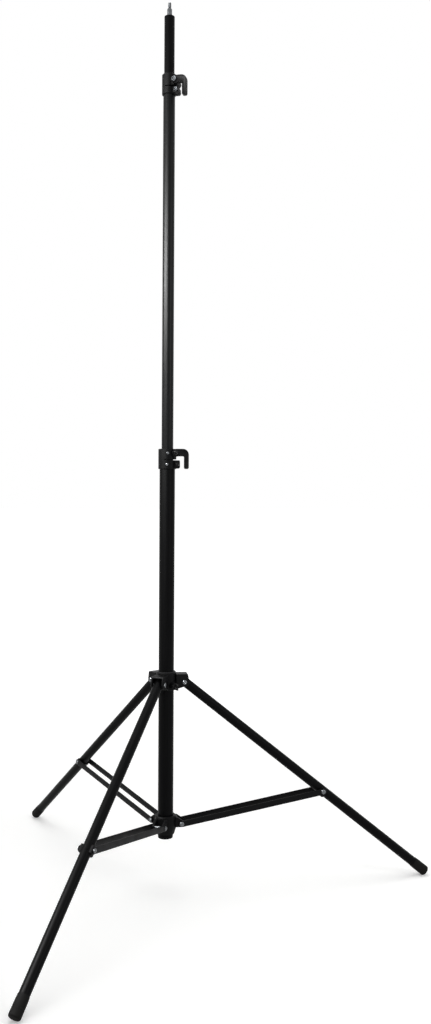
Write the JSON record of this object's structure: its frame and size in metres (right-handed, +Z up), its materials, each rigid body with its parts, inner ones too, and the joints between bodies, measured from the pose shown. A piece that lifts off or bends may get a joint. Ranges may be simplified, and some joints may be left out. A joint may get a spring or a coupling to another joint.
{
  "type": "light stand",
  "caption": "Telescopic light stand: round mast in sliding sections with lever collars, on a folding tripod with paired braces, and a stud at the top for a light.",
  "frame": {"origin": "centre of the stand's bounding box on the plane that the feet stand on; the mast's axis is behind it on -X", "axes": "+Z up along the mast; +X along one leg, away from the mast; +Y completes a right-handed frame"},
  "size_m": [0.8144, 0.9374, 1.7251],
  "materials": {
    "black_coated_aluminium": "satin black coating",
    "black_moulded_plastic": "moulded, fine matt grain",
    "dark_nylon": "plain moulded nylon",
    "black_rubber": "matt rubber",
    "black_coated_steel": "satin black coating",
    "zinc_plated_steel": "bright zinc plating"
  },
  "bodies": {
    "mast_base": {"lower_tube": "black_coated_aluminium", "bottom_plug": "black_moulded_plastic", "lower_hub": "black_moulded_plastic", "lower_hub_screw": "zinc_plated_steel", "lower_guide_bush": "dark_nylon", "lower_collar": "black_moulded_plastic", "lower_collar_bolt": "black_coated_steel", "lower_collar_nut": "black_coated_steel", "lower_clamp_bolt": "black_coated_steel", "lower_pivot_pin_1": "zinc_plated_steel", "lower_pivot_pin_2": "zinc_plated_steel", "lower_pivot_pin_3": "zinc_plated_steel"},
    "lower_lever": {"lower_clamp_lever": "black_moulded_plastic", "lower_lever_nut": "black_coated_steel"},
    "middle_slider": {"middle_glide": "dark_nylon"},
    "middle_section": {"middle_tube": "black_coated_aluminium", "upper_collar": "black_moulded_plastic", "upper_collar_bolt": "zinc_plated_steel", "upper_collar_nut": "zinc_plated_steel", "upper_clamp_bolt": "zinc_plated_steel"},
    "upper_lever": {"upper_clamp_lever": "black_moulded_plastic", "upper_lever_nut": "zinc_plated_steel"},
    "top_slider": {"top_glide": "dark_nylon"},
    "top_section": {"top_tube": "black_coated_aluminium", "top_cap": "black_moulded_plastic", "light_stud": "zinc_plated_steel"},
    "leg_collar": {"leg_hub": "black_moulded_plastic", "leg_hub_bush": "dark_nylon", "leg_pin_1": "zinc_plated_steel", "leg_pin_2": "zinc_plated_steel", "leg_pin_3": "zinc_plated_steel"},
    "leg_lock": {"lock_screw": "zinc_plated_steel", "lock_knob": "black_moulded_plastic"},
    "leg_1": {"leg_tube_1": "black_coated_aluminium", "leg_plug_1": "black_moulded_plastic", "foot_1": "black_rubber", "brace_clip_1": "black_moulded_plastic", "brace_pin_1": "zinc_plated_steel"},
    "brace_1": {"brace_strip_1a": "black_coated_steel", "brace_strip_1b": "black_coated_steel", "brace_rivet_1a": "zinc_plated_steel", "brace_rivet_1b": "zinc_plated_steel"},
    "leg_2": {"leg_tube_2": "black_coated_aluminium", "leg_plug_2": "black_moulded_plastic", "foot_2": "black_rubber", "brace_clip_2": "black_moulded_plastic", "brace_pin_2": "zinc_plated_steel"},
    "brace_2": {"brace_strip_2a": "black_coated_steel", "brace_strip_2b": "black_coated_steel", "brace_rivet_2a": "zinc_plated_steel", "brace_rivet_2b": "zinc_plated_steel"},
    "leg_3": {"leg_tube_3": "black_coated_aluminium", "leg_plug_3": "black_moulded_plastic", "foot_3": "black_rubber", "brace_clip_3": "black_moulded_plastic", "brace_pin_3": "zinc_plated_steel"},
    "brace_3": {"brace_strip_3a": "black_coated_steel", "brace_strip_3b": "black_coated_steel", "brace_rivet_3a": "zinc_plated_steel", "brace_rivet_3b": "zinc_plated_steel"}
  },
  "joints": [
    {"name": "middle_slide", "type": "slide", "parent": "mast_base", "child": "middle_slider", "axis": [0, 0, 1], "range_m": [-0.635, 0.0195]},
    {"name": "middle_turn", "type": "hinge", "parent": "middle_slider", "child": "middle_section", "pos_m": [-0.13186, 0, 0.79428], "axis": [0, 0, 1], "continuous": true},
    {"name": "top_slide", "type": "slide", "parent": "middle_section", "child": "top_slider", "axis": [0, 0, 1], "range_m": [-0.105, 0.565]},
    {"name": "top_turn", "type": "hinge", "parent": "top_slider", "child": "top_section", "pos_m": [-0.13186, 0, 0.94128], "axis": [0, 0, 1], "continuous": true},
    {"name": "lower_lever_turn", "type": "hinge", "parent": "mast_base", "child": "lower_lever", "pos_m": [-0.11503, -0.00162, 0.85628], "axis": [-0.0958, -0.9954, 0], "range_deg": [0, 90]},
    {"name": "upper_lever_turn", "type": "hinge", "parent": "middle_section", "child": "upper_lever", "pos_m": [-0.11749, -0.00581, 1.57058], "axis": [-0.3746, -0.9272, 0], "range_deg": [0, 90]},
    {"name": "leg_collar_slide", "type": "slide", "parent": "mast_base", "child": "leg_collar", "axis": [0, 0, 1], "range_m": [0, 0.3706]},
    {"name": "leg_lock_turn", "type": "hinge", "parent": "leg_collar", "child": "leg_lock", "pos_m": [-0.13186, 0, 0.40306], "axis": [0.5, -0.866, 0], "continuous": true},
    {"name": "leg_1_fold", "type": "hinge", "parent": "leg_collar", "child": "leg_1", "pos_m": [-0.09686, 0, 0.40856], "axis": [0, 1, 0], "range_deg": [0, 51.15]},
    {"name": "leg_2_fold", "type": "hinge", "parent": "leg_collar", "child": "leg_2", "pos_m": [-0.14936, 0.03031, 0.40856], "axis": [-0.866, -0.5, 0], "range_deg": [0, 51.15]},
    {"name": "leg_3_fold", "type": "hinge", "parent": "leg_collar", "child": "leg_3", "pos_m": [-0.14936, -0.03031, 0.40856], "axis": [0.866, -0.5, 0], "range_deg": [0, 51.15]},
    {"name": "brace_1_fold", "type": "hinge", "parent": "mast_base", "child": "brace_1", "pos_m": [-0.10086, 0, 0.12998], "axis": [0, -1, 0], "range_deg": [0, 78.7]},
    {"name": "brace_2_fold", "type": "hinge", "parent": "mast_base", "child": "brace_2", "pos_m": [-0.14736, 0.02685, 0.12998], "axis": [0.866, 0.5, 0], "range_deg": [0, 78.7]},
    {"name": "brace_3_fold", "type": "hinge", "parent": "mast_base", "child": "brace_3", "pos_m": [-0.14736, -0.02685, 0.12998], "axis": [-0.866, 0.5, 0], "range_deg": [0, 78.7]}
  ],
  "couplings": [
    {"joint": "leg_1_fold", "follows": "leg_collar_slide", "rad_per_m": 2.4088},
    {"joint": "leg_2_fold", "follows": "leg_collar_slide", "rad_per_m": 2.4088},
    {"joint": "leg_3_fold", "follows": "leg_collar_slide", "rad_per_m": 2.4088},
    {"joint": "brace_1_fold", "follows": "leg_collar_slide", "rad_per_m": 3.7061},
    {"joint": "brace_2_fold", "follows": "leg_collar_slide", "rad_per_m": 3.7061},
    {"joint": "brace_3_fold", "follows": "leg_collar_slide", "rad_per_m": 3.7061}
  ]
}
